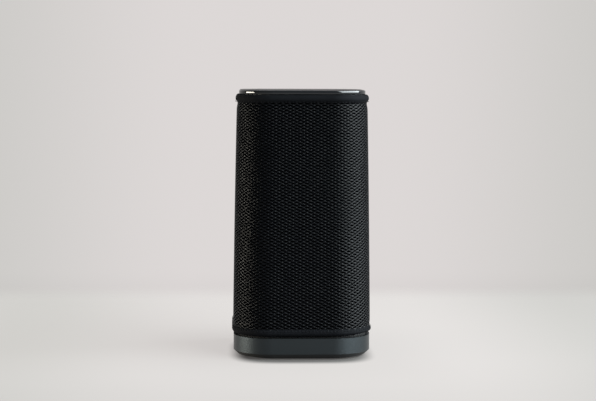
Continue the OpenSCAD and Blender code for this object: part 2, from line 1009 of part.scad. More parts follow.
module tweeter_surround() {
    steps = 8;
    mid = dome_r + 0.1 + 1.2;
    function arc(r) = [for (i = [0 : steps])
        [mid - r * cos(180 * i / steps), r * sin(180 * i / steps)]];
    lower = arc(0.9);
    color(rubber_black)
        facing_front(tweeter_z)
            rotate_extrude()
                polygon(concat(arc(1.2),
                    [[motor_r, 0], [motor_r, -skin_t], [mid + 0.9, -skin_t]],
                    [for (i = [steps : -1 : 0]) lower[i]],
                    [[mid - 1.2, -skin_t / 2]]));
}

// ---------- Passive radiator ----------

module radiator_frame() {
    color(black)
        facing_rear(radiator_z)
            difference() {
                rod(flange_r, 0, flange_t);
                rod(flange_in_r, -cut, flange_t + cut);
                round_circle(4, flange_screw_r)
                    rod(small_screw_r + screw_gap, -cut, flange_t + cut);
            }
}

module radiator_surround() {
    color(rubber_black)
        facing_rear(radiator_z)
            surround_ring();
}

module radiator_plate() {
    color(dark)
        facing_rear(radiator_z)
            rod(cone_r, cone_rim_z, cone_rim_z + cone_t);
}

module radiator_weight() {
    color(steel)
        facing_rear(radiator_z)
            rod(9, cone_rim_z - 3.6, cone_rim_z);
}

// ---------- Electronics ----------

module main_board() {
    color(board_green)
        difference() {
            slab(board_w, 6, board_z, parts_z);
            at_corners(board_post, board_post)
                rod(small_screw_r + screw_gap, board_z - cut, parts_z + cut);
        }
}

module main_board_screws() {
    color(steel)
        at_corners(board_post, board_post)
            translate([0, 0, parts_z])
                screw(2, 1.4, small_screw_r, board_t + 5);
}

module shield_can() {
    color(steel)
        translate([-can_w / 2, -can_w / 2, parts_z])
            cube([can_w, can_w, can_h]);
}

module heat_sink() {
    base = parts_z + can_h;
    pitch = (sink_w - fin_t) / (fin_count - 1);
    color("silver") {
        translate([-sink_w / 2, -sink_w / 2 + 3, base])
            cube([sink_w, sink_w - 6, sink_t]);
        for (i = [0 : fin_count - 1])
            translate([-sink_w / 2 + i * pitch, -sink_w / 2 + 3, base + sink_t - 0.2])
                cube([fin_t, sink_w - 6, fin_h + 0.2]);
    }
}

// Inductors, capacitors and connectors round the edge of the main board
module board_components() {
    edge = board_w / 2 - 3.4;
    color(dark) {
        for (x = [-12, -4, 4, 12])
            translate([x, -edge, 0])
                rod(2.4, parts_z, parts_z + 5);
        for (y = [-10, 0, 10], side = [-1, 1])
            translate([side * edge - 1.6, y - 3, parts_z])
                cube([3.2, 6, 2.6]);
        translate([-ribbon_w / 2 - 1, ribbon_y + 1, parts_z])
            cube([ribbon_w + 2, 3.4, 2]);
    }
}

module wifi_antennas() {
    color(board_green)
        for (side = [-1, 1])
            translate([side * (enclosure_half - 2.5) - 0.4, -12, enclosure_top])
                cube([0.8, 24, 9]);
}

module touch_ribbon() {
    color("orange")
        translate([-ribbon_w / 2, ribbon_y, parts_z + 0.2])
            cube([ribbon_w, ribbon_t, touch_z - parts_z - 0.2]);
}

// Round cable through the points: straight rods with a moulded ball at each bend
module cable(points, r) {
    for (i = [0 : len(points) - 2]) {
        step = points[i + 1] - points[i];
        flat = norm([step[0], step[1]]);
        translate(points[i])
            rotate([0, atan2(flat, step[2]), atan2(step[1], step[0])])
                cylinder(r = r, h = norm(step));
        if (i > 0)
            translate(points[i])
                sphere(1.2 * r);
    }
}

module wiring_harness() {
    color("firebrick")
        cable([
            [harness_x, holder_w / 2, harness_z0],
            [harness_x, harness_xy, harness_z0],
            [harness_xy, harness_xy, harness_z0],
            [harness_xy, harness_xy, harness_z1],
            [harness_x, harness_xy, harness_z1],
            [harness_x, board_w / 2 - 1, harness_z1]],
            harness_r);
}

// ---------- Sleeve and its cage ----------

module grille_frame() {
    slot_band = mesh_z1 - mesh_z0;
    pitch = slot_band / cage_rows;
    color(dark)
        difference() {
            column_shell(body_z, body_top, mesh_t, cage_inset);
            for (i = [0 : cage_rows - 1], turn = [0, 90], side = [-1, 1])
                rotate([0, 0, turn])
                    translate([side * (cage_slot_w / 2 + 2), 0, mesh_z0 + (i + 0.5) * pitch])
                        cube([cage_slot_w, 2 * sleeve_w_bottom, cage_slot_h], center = true);
        }
}

module sleeve_mesh() {
    color(black)
        column_shell(mesh_z0, mesh_z1, 0, mesh_t);
}

module sleeve_top_binding() {
    color(black)
        column_shell(mesh_z1, body_top, -binding_bulge, mesh_t);
}

module sleeve_bottom_binding() {
    color(black)
        column_shell(body_z, mesh_z0, -binding_bulge, mesh_t);
}

// ---------- Top ----------

module top_frame() {
    color(dark)
        difference() {
            union() {
                band(frame_w, frame_r, frame_w - 2 * frame_wall, frame_r - frame_wall,
                    frame_z, plate_z);
                band(frame_w - 1, frame_r - 0.5, board_w - 2, 8,
                    frame_z, frame_z + frame_floor_t);
                for (turn = [0 : 90 : 270])
                    rotate([0, 0, turn])
                        translate([touch_post_xy, 0, 0])
                            rod(2.2, frame_z, touch_z);
            }
            at_corners(top_post, top_post)
                rod(small_screw_r + screw_gap, frame_z - cut, frame_z + frame_floor_t + cut);
        }
}

module top_frame_screws() {
    color(steel)
        at_corners(top_post, top_post)
            translate([0, 0, frame_z + frame_floor_t])
                screw(top_head_r, top_head_h, small_screw_r, top_screw_l);
}

module touch_board() {
    color(board_green)
        slab(touch_w, touch_r, touch_z, touch_z + board_t);
}

module status_leds() {
    color("white")
        round_circle(led_count, led_ring_r, 0)
            translate([-led_side / 2, -led_side / 2, touch_z + board_t])
                cube([led_side, led_side, led_h]);
}

// Microphones in rubber boots that reach up to the plate
module microphones() {
    color(brass_tone)
        at_corners(mic_xy, mic_xy)
            difference() {
                rod(mic_boot_r, touch_z + board_t, plate_z);
                rod(mic_hole_r, touch_z + board_t + 1, plate_z + cut);
            }
}

module top_plate() {
    color(black)
        difference() {
            slab(plate_w, corner_r * plate_w / sleeve_w_bottom, plate_z, total_h,
                $fn = outer_fn);
            at_corners(mic_xy, mic_xy)
                rod(mic_hole_r, plate_z - cut, total_h + cut);
        }
}

// ---------- Nodes ----------

foot_pad();
base_shell();
base_screws();
io_board();
charge_inlet();
charge_inlet_tongue();
port_panel();
power_button();
power_switch();
mute_slider();
mute_switch();
base_gasket();
lower_chassis();
chassis_screws();
battery_cells();
battery_holder();
battery_strap();
enclosure_front();
enclosure_rear();
enclosure_seal();
enclosure_screws();
woofer_basket();
woofer_front_plate();
woofer_magnet();
woofer_yoke();
woofer_voice_coil();
woofer_spider();
woofer_cone();
woofer_dust_cap();
woofer_surround();
woofer_gasket();
driver_screws();
tweeter_faceplate();
tweeter_motor();
tweeter_dome();
tweeter_surround();
radiator_frame();
radiator_surround();
radiator_plate();
radiator_weight();
damping_wadding();
main_board();
main_board_screws();
shield_can();
heat_sink();
board_components();
wifi_antennas();
grille_frame();
sleeve_mesh();
sleeve_top_binding();
sleeve_bottom_binding();
top_frame();
top_frame_screws();
touch_board();
status_leds();
microphones();
touch_ribbon();
wiring_harness();
top_plate();
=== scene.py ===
"""The looks of a portable smart speaker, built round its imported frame.

Metres; +Z is up and -Y is the front. The knitted sleeve, its bound edges and the bevelled outer shells
are made here, and every other sub-part keeps its own solid and gets its finish.
"""

import json
import math

import bmesh
import bpy
from mathutils import Matrix, Vector, noise


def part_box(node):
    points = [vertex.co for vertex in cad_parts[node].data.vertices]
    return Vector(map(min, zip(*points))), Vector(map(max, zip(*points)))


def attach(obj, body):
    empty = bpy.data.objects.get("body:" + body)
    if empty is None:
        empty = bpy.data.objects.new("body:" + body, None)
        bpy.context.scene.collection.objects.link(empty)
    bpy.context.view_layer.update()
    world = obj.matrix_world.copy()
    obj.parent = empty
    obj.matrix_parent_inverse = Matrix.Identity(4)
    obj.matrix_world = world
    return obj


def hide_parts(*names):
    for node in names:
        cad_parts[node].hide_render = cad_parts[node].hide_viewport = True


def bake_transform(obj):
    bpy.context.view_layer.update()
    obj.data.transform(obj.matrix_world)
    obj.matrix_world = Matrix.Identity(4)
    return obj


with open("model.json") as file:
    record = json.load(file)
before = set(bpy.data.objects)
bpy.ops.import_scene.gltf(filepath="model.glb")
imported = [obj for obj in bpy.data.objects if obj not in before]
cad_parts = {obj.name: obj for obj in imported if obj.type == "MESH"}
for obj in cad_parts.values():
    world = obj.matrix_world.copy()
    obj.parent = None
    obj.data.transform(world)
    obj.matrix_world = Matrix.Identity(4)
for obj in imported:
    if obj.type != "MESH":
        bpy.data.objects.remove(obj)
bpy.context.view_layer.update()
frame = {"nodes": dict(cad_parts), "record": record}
nodes = frame["nodes"]
scene = bpy.context.scene
scene.view_settings.view_transform = "Standard"

MM = 0.001
BODY = "speaker_body"

# The sleeve's plan is a rounded square that narrows towards the top
CORNER_R = 28 * MM
BINDING_BULGE = 0.6 * MM
mesh_low, mesh_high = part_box("sleeve_mesh")
top_low, top_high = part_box("sleeve_top_binding")
bottom_low, bottom_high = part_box("sleeve_bottom_binding")
HALF_LOW = mesh_high.x
HALF_HIGH = top_high.x - BINDING_BULGE
Z_LOW, Z_HIGH = mesh_low.z, mesh_high.z

# The net of the spacer mesh
COLUMNS = 68
ROWS = 134
ROW_GROWTH = 0.042
CELL_PEAK = 0.24
STRAND_HALF = 0.19 * MM
STRAND_SQUASH = 0.26
NET_DEPTH = 0.34 * MM
NET_TUCK = 1.2 * MM
INNER_FACE = 2.2 * MM

# How the cloth pulls in where each binding is sewn on, and swells between them
TOP_PINCH = 0.55 * MM
BOTTOM_PINCH = 0.35 * MM
SWELL = 0.25 * MM
BINDING_LEAN = 0.6 * MM

# The bindings: a tube whose corners are a little squarer than an ellipse's, and its uneven slack
BINDING_DEPTH = 3 * MM
BINDING_POWER = 2 / 2.15
SLACK = ((60, 0.22 * MM), (220, 0.08 * MM))

# The tape up the back, its two rows of stitches, and the stitches everywhere
SEAM_W = 7 * MM
SEAM_CROWN, SEAM_SINK, SEAM_DENT = 0.55 * MM, 0.35 * MM, 0.12 * MM
SEAM_STITCH_X, SEAM_STITCH_GAP = SEAM_W * 0.3, 2.6 * MM
STITCH_SIZE = (0.95 * MM, 0.22 * MM, 0.16 * MM)

# The touch plate
PLATE_RIM = 1.1 * MM
RING_R = 33 * MM
MIC_R = 0.7 * MM
MIC_PLACES = [Vector((x * 18 * MM, y * 18 * MM)) for x in (-1, 1) for y in (-1, 1)]


# ---------- Camera ----------

CAMERA_REACH = 1.227
CAMERA_HEIGHT = 0.2087
CAMERA_ORBIT = math.radians(2.2)
CAMERA_PITCH = math.radians(4.54)
CAMERA_PAN = math.radians(0.097)
CAMERA_ROLL = math.radians(0.2)


def make_camera():
    data = bpy.data.cameras.new("camera")
    data.lens, data.sensor_width = 100, 36
    camera = bpy.data.objects.new("camera", data)
    scene.collection.objects.link(camera)
    place = Vector((-math.sin(CAMERA_ORBIT), -math.cos(CAMERA_ORBIT), 0)) * CAMERA_REACH
    place.z = CAMERA_HEIGHT
    camera.matrix_world = (
        Matrix.Translation(place)
        @ Matrix.Rotation(CAMERA_PAN - CAMERA_ORBIT, 4, "Z")
        @ Matrix.Rotation(math.pi / 2 - CAMERA_PITCH, 4, "X")
        @ Matrix.Rotation(CAMERA_ROLL, 4, "Z")
    )
    scene.camera = camera


make_camera()


# ---------- Shader maths ----------


class Value:
    """One output of a finish's nodes, for use in sums such as 1 - mask * 0.2."""

    def __init__(self, finish, socket):
        self.finish, self.socket = finish, socket

    def maths(self, operation, *terms):
        return self.finish.node("ShaderNodeMath", {"operation": operation}, dict(enumerate(terms)))

    def __add__(self, other):
        return self.maths("ADD", self, other)

    def __sub__(self, other):
        return self.maths("SUBTRACT", self, other)

    def __rsub__(self, other):
        return self.maths("SUBTRACT", other, self)

    def __mul__(self, other):
        return self.maths("MULTIPLY", self, other)

    def __pow__(self, other):
        return self.maths("POWER", self, other)

    __radd__, __rmul__ = __add__, __mul__

    def wave(self, period):
        """From 0 to 1 and back, once in each period."""
        return self.maths("SINE", self * (2 * math.pi / period)) * 0.5 + 0.5

    def size(self):
        return self.maths("ABSOLUTE", self)

    def larger(self, other):
        return self.maths("MAXIMUM", self, other)

    def step(self, low, high):
        """0 up to low, 1 from high, and smooth between them."""
        settings = {"interpolation_type": "SMOOTHSTEP"}
        sockets = {"Value": self, "From Min": low, "From Max": high}
        return self.finish.node("ShaderNodeMapRange", settings, sockets)


class Finish:
    """A material: a Principled shader, and the nodes that vary it over the surface."""

    def __init__(self, name, colour, roughness, metallic=0.0, **constants):
        self.material = bpy.data.materials.new(name)
        self.material.use_nodes = True
        self.tree = self.material.node_tree
        self.shader = self.tree.nodes["Principled BSDF"]
        self.colour = (*colour, 1)
        self.set("Base Color", self.colour)
        self.set("Roughness", roughness)
        self.set("Metallic", metallic)
        for word, value in constants.items():
            self.set(word.replace("_", " ").title().replace("Ior", "IOR"), value)
        self.place = self.node("ShaderNodeTexCoord", {}, {}, "Object")

    def node(self, kind, settings, sockets, out=0):
        made = self.tree.nodes.new(kind)
        for word, value in settings.items():
            setattr(made, word, value)
        for key, value in sockets.items():
            self.plug(made.inputs[key], value)
        return Value(self, made.outputs[out])

    def plug(self, socket, value):
        if isinstance(value, Value):
            self.tree.links.new(value.socket, socket)
        else:
            socket.default_value = value

    def set(self, socket, value):
        self.plug(self.shader.inputs[socket], value)

    def mix(self, share, first, second):
        """A colour from first to second."""
        made = self.tree.nodes.new("ShaderNodeMix")
        made.data_type = "RGBA"
        for key, value in {0: share, 6: first, 7: second}.items():
            self.plug(made.inputs[key], value)
        return Value(self, made.outputs[2])

    def shade(self, share, darker, lighter):
        """The finish's own colour, from darker to lighter times as bright."""
        low, high = ((*(c * k for c in self.colour[:3]), 1) for k in (darker, lighter))
        self.set("Base Color", self.mix(share, low, high))

    def axis(self, letter):
        return self.node("ShaderNodeSeparateXYZ", {}, {"Vector": self.place}, letter.upper())

    def stretched(self, x, y, z):
        return self.node("ShaderNodeMapping", {}, {"Vector": self.place, "Scale": (x, y, z)})

    def grain(self, size, detail=2.0, vector=None):
        """Noise whose spots are about that size, from 0 to 1."""
        sockets = {"Vector": vector or self.place, "Scale": 1 / size, "Detail": detail}
        return self.node("ShaderNodeTexNoise", {}, sockets)

    def cells(self, size):
        """Distance from the nearest of many scattered points."""
        sockets = {"Vector": self.place, "Scale": 1 / size}
        return self.node("ShaderNodeTexVoronoi", {}, sockets, "Distance")

    def glow(self, colour):
        self.set("Emission Color", colour)
        self.set("Emission Strength", 1)

    def bump(self, height, distance):
        sockets = {"Height": height, "Distance": distance, "Strength": 1}
        self.set("Normal", self.node("ShaderNodeBump", {}, sockets))


# ---------- Finishes ----------


def moulded(name, colour, roughness=0.5, pit=0.25 * MM):
    """Moulded plastic with a fine spark-eroded surface."""
    f = Finish(name, colour, roughness, specular_ior_level=0.4)
    f.set("Roughness", f.grain(6 * MM) * 0.12 + (roughness - 0.06))
    f.shade(f.grain(9 * MM), 0.85, 1.15)
    f.bump(f.grain(pit), 0.03 * MM)
    return f


def rubber(name, colour, roughness=0.7):
    f = Finish(name, colour, roughness, specular_ior_level=0.3)
    dust = f.grain(4 * MM, 4)
    f.shade(dust, 0.8, 1.5)
    f.set("Roughness", dust * 0.2 + (roughness - 0.1))
    f.bump(f.grain(0.4 * MM), 0.04 * MM)
    return f


def painted(name, colour, roughness):
    """Satin paint over blasted metal."""
    f = Finish(name, colour, roughness)
    f.shade(f.grain(14 * MM), 0.93, 1.07)
    f.set("Roughness", f.grain(3 * MM, 4) * 0.08 + (roughness - 0.04))
    f.bump(f.grain(0.12 * MM), 0.006 * MM)
    return f


def steel(name, colour, roughness=0.3, brushed=(1, 1, 1)):
    """Plated steel, brushed along the axis whose number is small."""
    f = Finish(name, colour, roughness, 1.0)
    lines = f.grain(0.3 * MM, 3, f.stretched(*brushed))
    f.set("Roughness", lines * 0.2 + (roughness - 0.1))
    f.shade(f.grain(5 * MM), 0.88, 1.06)
    f.bump(lines, 0.01 * MM)
    return f


def base_finish(name, colour):
    """Satin gunmetal, turned black, duller and not metallic on the undercut below its lower edge, from about
    4 mm down.
    """
    f = Finish(name, colour, 0.3)
    under = 1 - f.axis("z").step(3.9 * MM, 4.4 * MM)
    f.set("Base Color", f.mix(under, f.colour, (0.002, 0.002, 0.0022, 1)))
    f.set("Metallic", 0.9 - under * 0.9)
    f.set("Roughness", under * 0.4 + f.grain(3 * MM, 4) * 0.05 + 0.37)
    f.bump(f.grain(0.1 * MM), 0.002 * MM)
    return f


def circuit(name, colour):
    """Solder mask over copper tracks, with plated through holes."""
    f = Finish(name, colour, 0.35)
    x, y = f.axis("x"), f.axis("y")
    lane = x.wave(2.2 * MM).step(0.72, 0.8).larger(y.wave(3.1 * MM).step(0.78, 0.86))
    block = f.grain(9 * MM, 0).step(0.48, 0.52)
    tracks = lane * block
    hole = f.cells(3 * MM)
    plated = 1 - hole.step(0.1, 0.14)
    mask = f.mix(tracks, f.colour, (*(c * 2.1 for c in colour), 1))
    f.set("Base Color", f.mix(plated, mask, (0.75, 0.55, 0.3, 1)))
    f.set("Metallic", plated)
    f.bump(tracks - plated, 0.05 * MM)
    return f


def gloss(name, colour, roughness):
    f = Finish(name, colour, roughness)
    f.set("Roughness", f.grain(20 * MM, 3) * 0.06 + (roughness - 0.03))
    f.shade(f.grain(12 * MM), 0.95, 1.05)
    return f


def wound(name, colour, pitch, letter):
    """Enamelled wire laid side by side along one axis."""
    f = Finish(name, colour, 0.3, 1.0, coat_weight=0.5)
    turns = f.axis(letter).wave(pitch)
    f.shade(turns, 0.35, 1.1)
    f.bump(turns, pitch / 3)
    return f


def woven(name, colour, pitch, roughness=0.85):
    """Plain weave on two axes, for webbing and cloth parts."""
    f = Finish(name, colour, roughness, sheen_weight=0.2, specular_ior_level=0.2)
    x, y, z = (f.axis(letter).wave(pitch) for letter in "xyz")
    weave = (x * z).larger(y * z).larger((1 - x) * (1 - z))
    f.shade(weave, 0.6, 1.3)
    f.bump(weave, pitch / 4)
    return f


def uv_axes(f):
    """The piece's own two directions: round it, and up it, in metres."""
    both = f.node("ShaderNodeUVMap", {"uv_map": "laid_flat"}, {})
    return [f.node("ShaderNodeSeparateXYZ", {}, {"Vector": both}, letter) for letter in "XY"]


def yarn(name, colour):
    """Black polyester yarn, knitted in small loops."""
    f = Finish(name, colour, 0.24, specular_ior_level=0.09)
    along, up = uv_axes(f)
    loops = (along + up * 0.5).wave(0.62 * MM) * (along - up * 0.5).wave(0.62 * MM)
    f.shade(loops, 0.75, 1.25)
    f.bump(loops + f.grain(0.2 * MM) * 0.5, 0.035 * MM)
    return f


def ribbed(name, colour):
    """Close knit tape, with fine ribs round its length."""
    f = Finish(name, colour, 0.68, specular_ior_level=0.03)
    along, up = uv_axes(f)
    knit = up.wave(0.55 * MM) * 0.6 + (along + up * 0.8).wave(0.7 * MM) * 0.4
    f.shade(knit, 0.8, 1.2)
    f.bump(knit + f.grain(1.5 * MM) * 0.4, 0.07 * MM)
    return f


def pile(name, colour):
    """Upright filaments side by side, seen only in the depth of the holes."""
    f = Finish(name, colour, 0.8, specular_ior_level=0.05)
    along, up = uv_axes(f)
    f.shade((along * 1.7 + up).wave(0.3 * MM), 0.4, 1.4)
    return f


def thread(name, colour):
    """Twisted sewing thread."""
    f = Finish(name, colour, 0.6, specular_ior_level=0.05)
    twist = (f.axis("x") + f.axis("y") + f.axis("z") * 1.5).wave(0.35 * MM)
    f.shade(twist, 0.7, 1.3)
    f.bump(twist, 0.05 * MM)
    return f


def inner_knit(name, colour):
    """The fine inner face that shows deep in the holes."""
    f = Finish(name, colour, 0.9, specular_ior_level=0)
    along, up = uv_axes(f)
    knit = along.wave(0.9 * MM) * up.wave(0.9 * MM)
    f.shade(knit, 0.5, 1.2)
    f.bump(knit, 0.15 * MM)
    return f


def plate_finish(name, shine, haze):
    """Black touch plate, with a faint ring where its lights shine through. haze is added to its roughness."""
    f = Finish(name, (0.006, 0.0064, 0.0072), 0.06, specular_ior_level=shine)
    x, y = f.axis("x"), f.axis("y")
    radius = (x * x + y * y) ** 0.5
    ring = 1 - (radius - RING_R).size().step(0.5 * MM, 0.8 * MM)
    f.set("Base Color", f.mix(ring, f.colour, (0.03, 0.031, 0.034, 1)))
    f.set("Roughness", ring * 0.22 + f.grain(30 * MM, 3) * 0.05 + (haze + 0.04))
    return f


def make_finishes():
    """One finish for each of the record's material slots."""
    made = {
        "foot_rubber": rubber("foot rubber", (0.018, 0.018, 0.019)),
        "base_paint": base_finish("gunmetal anodising", (0.0245, 0.029, 0.0315)),
        "screw_steel": steel("zinc screw", (0.55, 0.55, 0.56), 0.32),
        "circuit_board": circuit("solder mask", (0.012, 0.075, 0.035)),
        "inlet_metal": steel("nickel shell", (0.75, 0.75, 0.77), 0.22, (1, 0.1, 1)),
        "port_plastic": moulded("port plastic", (0.012, 0.0125, 0.014)),
        "button_plastic": moulded("button plastic", (0.03, 0.031, 0.033), 0.42),
        "switch_metal": steel("switch case", (0.5, 0.5, 0.5), 0.35),
        "gasket_rubber": rubber("gasket rubber", (0.002, 0.002, 0.0022), 0.9),
        "chassis_plastic": moulded("chassis plastic", (0.045, 0.046, 0.05), 0.55),
        "cell_wrap": gloss("cell wrap", (0.03, 0.12, 0.32), 0.25),
        "strap_webbing": woven("strap webbing", (0.03, 0.03, 0.032), 1.2 * MM),
        "enclosure_plastic": moulded("enclosure plastic", (0.03, 0.031, 0.034), 0.55),
        "basket_paint": painted("basket paint", (0.02, 0.02, 0.022), 0.45),
        "motor_steel": steel("zinc plate", (0.56, 0.57, 0.6), 0.3, (1, 0.2, 1)),
        "ferrite": moulded("ferrite", (0.06, 0.06, 0.063), 0.6, 0.6 * MM),
        "coil_copper": wound("copper wire", (0.8, 0.36, 0.16), 0.35 * MM, "y"),
        "spider_cloth": woven("spider cloth", (0.6, 0.42, 0.13), 0.7 * MM),
        "cone_paper": rubber("pressed pulp", (0.03, 0.029, 0.028), 0.8),
        "surround_rubber": rubber("surround rubber", (0.014, 0.014, 0.015), 0.55),
        "dome_silk": woven("coated silk", (0.07, 0.08, 0.1), 0.3 * MM, 0.5),
        "wadding": rubber("polyester wadding", (0.7, 0.69, 0.66), 0.95),
        "can_tin": steel("tin plate", (0.7, 0.7, 0.69), 0.28, (0.1, 1, 1)),
        "sink_aluminium": steel("extruded aluminium", (0.8, 0.81, 0.82), 0.34, (1, 0.05, 1)),
        "component_black": moulded("component plastic", (0.025, 0.025, 0.026), 0.5),
        "cage_plastic": moulded("cage plastic", (0.02, 0.021, 0.023), 0.6),
        "led_epoxy": gloss("lamp epoxy", (0.85, 0.82, 0.7), 0.3),
        "mic_rubber": rubber("microphone rubber", (0.04, 0.04, 0.041)),
        "ribbon_film": wound("ribbon film", (0.5, 0.2, 0.04), 0.8 * MM, "x"),
        "harness_jacket": rubber("harness jacket", (0.3, 0.03, 0.025), 0.5),
        "sleeve_fabric": yarn("mesh yarn", (0.0026, 0.003, 0.0038)),
        "binding_fabric": ribbed("binding knit", (0.0024, 0.0027, 0.0034)),
        "plate_gloss": plate_finish("black gloss", 0.4, 0),
    }
    return {slot: finish.material for slot, finish in made.items()}


finish = make_finishes()
slot_of = {part["node"]: part["material_slot"] for part in frame["record"]["subparts"]}
for name, solid in nodes.items():
    solid.data.materials.clear()
    solid.data.materials.append(finish[slot_of[name]])


# ---------- Shapes that follow the body ----------


def half_at(z):
    """Half the sleeve's width at a height."""
    return HALF_LOW + (HALF_HIGH - HALF_LOW) * (z - Z_LOW) / (Z_HIGH - Z_LOW)


def outline(share, half, radius):
    """A point of a rounded square and its outward normal, anticlockwise from the middle of the back."""
    flat = half - radius
    quarter = 2 * flat + math.pi / 2 * radius
    turns, along = divmod((share % 1) * 4, 1)
    along *= quarter
    if along < flat:
        point, normal = Vector((-along, half)), Vector((0, 1))
    elif along < quarter - flat:
        a = (along - flat) / radius
        normal = Vector((-math.sin(a), math.cos(a)))
        point = Vector((-flat, flat)) + normal * radius
    else:
        point, normal = Vector((-half, quarter - along)), Vector((-1, 0))
    turn = Matrix.Rotation(turns * math.pi / 2, 2)
    return turn @ point, turn @ normal


def perimeter(half):
    radius = CORNER_R * half / HALF_LOW
    return 8 * (half - radius) + 2 * math.pi * radius


ROUND_LOW = perimeter(HALF_LOW)
NET_HEIGHT = Z_HIGH - Z_LOW + 2 * NET_TUCK


def pinch(z):
    """How far the cloth stands out from the plain taper at a height; less than nothing by the seams."""
    top = TOP_PINCH * math.exp(-(((z - Z_HIGH) / (2.4 * MM)) ** 2))
    bottom = BOTTOM_PINCH * math.exp(-(((z - Z_LOW) / (2 * MM)) ** 2))
    middle = (z - Z_LOW) / (Z_HIGH - Z_LOW)
    return SWELL * max(0, 4 * middle * (1 - middle)) - top - bottom


def on_sleeve(share, z, proud):
    """The place at a share of the way round, at a height, standing proud of the sleeve's face."""
    half = half_at(z)
    radius = CORNER_R * half / HALF_LOW
    point, normal = outline(share, half, radius)
    return Vector((*(point + normal * proud), z))


def keep_flat_map(bm):
    """Stores each corner's flat place in metres, for finishes that follow the cloth."""
    layer = bm.loops.layers.uv.new("laid_flat")
    for face in bm.faces:
        for loop in face.loops:
            loop[layer].uv = loop.vert.co.xy


def make_object(name, bm, material):
    mesh = bpy.data.meshes.new(name)
    bm.to_mesh(mesh)
    bm.free()
    mesh.materials.append(material)
    made = bpy.data.objects.new(name, mesh)
    scene.collection.objects.link(made)
    return made


def finish_piece(name, bm, material, body=BODY):
    """A smooth-shaded piece of the speaker, riding on a body unless that is None."""
    piece = make_object(name, bm, material)
    piece.data.polygons.foreach_set("use_smooth", [True] * len(piece.data.polygons))
    if body:
        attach(piece, body)
    return piece


def sheet_grid(columns, rows, width, height):
    """A flat rectangle of quads with its lower left corner at the origin."""
    bm = bmesh.new()
    bmesh.ops.create_grid(bm, x_segments=columns, y_segments=rows, size=0.5)
    bmesh.ops.translate(bm, vec=(0.5, 0.5, 0), verts=bm.verts)
    bmesh.ops.scale(bm, vec=(width, height, 1), verts=bm.verts)
    return bm


# ---------- The sleeve ----------


def net_cells():
    """The sleeve's face laid flat in staggered six-sided cells, squashed sideways for even strands."""
    across, up = ROUND_LOW / (2 * COLUMNS), NET_HEIGHT / ROWS
    bm = sheet_grid(2 * COLUMNS, ROWS, ROUND_LOW, NET_HEIGHT)

    def steps(v):
        return round(v.co.x / across), round(v.co.y / up)

    spare = []
    for edge in bm.edges:
        (i, j), (k, m) = steps(edge.verts[0]), steps(edge.verts[1])
        if i == k and 0 < i < 2 * COLUMNS and (i + min(j, m)) % 2 == 0:
            spare.append(edge)
    for v in bm.verts:
        i, j = steps(v)
        v.co.y += CELL_PEAK * up * (1 if (i + j) % 2 else -1)
    bmesh.ops.dissolve_edges(bm, edges=spare, use_verts=False)
    bmesh.ops.scale(bm, vec=(STRAND_SQUASH, 1, 1), verts=bm.verts)
    return bm


def wrap_net(name, bm, material):
    """Unsquashes the flat net and lays it on the sleeve's outline."""
    bmesh.ops.scale(bm, vec=(1 / STRAND_SQUASH, 1, 1), verts=bm.verts)
    keep_flat_map(bm)
    for v in bm.verts:
        t = v.co.y / NET_HEIGHT
        z = Z_LOW - NET_TUCK + NET_HEIGHT * (t + ROW_GROWTH * t * (1 - t))
        v.co = on_sleeve(v.co.x / ROUND_LOW, z, pinch(z) + v.co.z)
    piece = finish_piece(name, bm, material)
    return piece


def inset_each(bm, faces, thickness, depth):
    made = bmesh.ops.inset_individual(
        bm, faces=faces, thickness=thickness, depth=depth, use_even_offset=True
    )
    return made["faces"]


def make_net():
    """Outer face of the spacer mesh: rounded strands round open holes."""
    bm = net_cells()
    holes = bm.faces[:]
    inset_each(bm, holes, STRAND_HALF, -NET_DEPTH)
    bmesh.ops.delete(bm, geom=holes, context="FACES")
    net = wrap_net("sleeve_net", bm, finish["sleeve_fabric"])
    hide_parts("sleeve_mesh")
    return net


def make_pile():
    """The upright yarns under the strands, which wall each hole down to the inner face."""
    bm = net_cells()
    holes = bm.faces[:]
    strands = inset_each(bm, holes, STRAND_HALF * 0.9, -NET_DEPTH * 0.8)
    bmesh.ops.delete(bm, geom=strands, context="FACES")
    inset_each(bm, holes, 0.03 * MM, NET_DEPTH * 0.8 - INNER_FACE)
    bmesh.ops.delete(bm, geom=holes, context="FACES")
    return wrap_net("sleeve_pile", bm, pile("pile yarn", (0.0025, 0.0026, 0.0032)).material)


def make_inner_face():
    bm = sheet_grid(120, 12, ROUND_LOW, NET_HEIGHT)
    keep_flat_map(bm)
    for v in bm.verts:
        z = Z_LOW - NET_TUCK + v.co.y
        v.co = on_sleeve(v.co.x / ROUND_LOW, z, pinch(z) - INNER_FACE)
    bmesh.ops.remove_doubles(bm, verts=bm.verts, dist=0.01 * MM)
    material = inner_knit("inner knit", (0.0012, 0.0012, 0.0016)).material
    inner = finish_piece("sleeve_inner_face", bm, material)
    return inner


